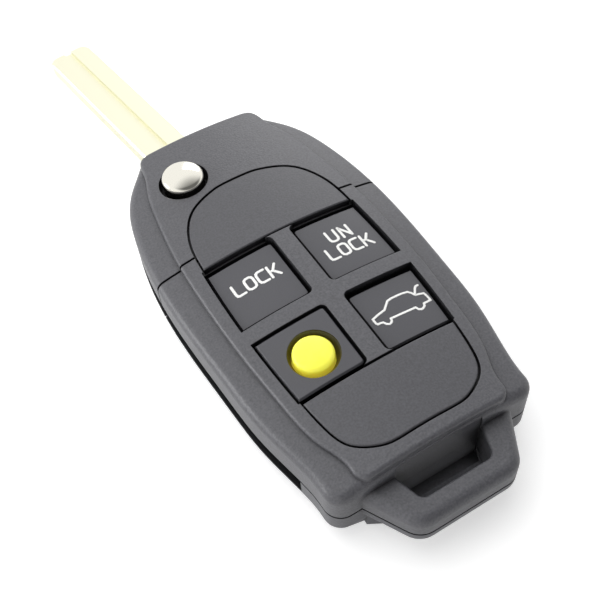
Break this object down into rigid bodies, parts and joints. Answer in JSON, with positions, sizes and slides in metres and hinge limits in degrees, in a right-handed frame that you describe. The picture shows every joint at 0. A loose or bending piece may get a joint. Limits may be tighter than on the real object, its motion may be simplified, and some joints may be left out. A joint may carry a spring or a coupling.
{
  "type": "flip key remote shell",
  "caption": "Flip key remote shell: blade that folds into the side of its head, slide-on remote module with square keys, round yellow key and key-ring loop.",
  "frame": {"origin": "on the flat back face, under the centre of the key cross", "axes": "+Y towards the blade, +X across the face the way the legends read, +Z out of the key face"},
  "size_m": [0.0372, 0.1119, 0.0148],
  "materials": {
    "shell": "fine spark texture, moulded",
    "trim": "fine spark texture, moulded",
    "keys": "satin",
    "yellow": "satin",
    "chrome": "polished plating",
    "blade": "nickel plated, satin",
    "barrel": "die-cast, plated",
    "steel": "plain",
    "rubber": "moulded silicone"
  },
  "bodies": {
    "shell": {"head_upper_shell": "shell", "head_lower_shell": "shell", "remote_upper_shell": "shell", "remote_lower_shell": "shell", "upper_trim_panel": "trim", "lower_trim_panel": "trim", "yellow_button_pad": "trim", "keypad_membrane": "rubber", "flip_spring": "steel", "spring_cap": "shell", "case_screws": "steel"},
    "blade": {"key_blade": "blade", "blade_hub": "barrel", "blade_roll_pin": "steel"},
    "release": {"release_button": "chrome", "release_plunger": "shell"},
    "lock_key": {"lock_button": "keys"},
    "unlock_key": {"unlock_button": "keys"},
    "trunk_key": {"trunk_button": "keys"},
    "yellow_key": {"yellow_button": "yellow"}
  },
  "joints": [
    {"name": "blade_fold", "type": "hinge", "parent": "shell", "child": "blade", "pos_m": [-0.0066, 0.031, 0.00525], "axis": [0, 0, 1], "range_deg": [-7.3, 172.7]},
    {"name": "release_press", "type": "slide", "parent": "shell", "child": "release", "axis": [0, 0, -1], "range_m": [0, 0.0015], "stiffness_N_per_m": 600, "springref_m": -0.0005, "deforming": ["flip_spring"]},
    {"name": "lock_press", "type": "slide", "parent": "shell", "child": "lock_key", "axis": [0, 0, -1], "range_m": [0, 0.0006], "stiffness_N_per_m": 1500, "springref_m": -0.0002},
    {"name": "unlock_press", "type": "slide", "parent": "shell", "child": "unlock_key", "axis": [0, 0, -1], "range_m": [0, 0.0006], "stiffness_N_per_m": 1500, "springref_m": -0.0002},
    {"name": "trunk_press", "type": "slide", "parent": "shell", "child": "trunk_key", "axis": [0, 0, -1], "range_m": [0, 0.0006], "stiffness_N_per_m": 1500, "springref_m": -0.0002},
    {"name": "yellow_press", "type": "slide", "parent": "shell", "child": "yellow_key", "axis": [0, 0, -1], "range_m": [0, 0.0006], "stiffness_N_per_m": 1500, "springref_m": -0.0002}
  ]
}
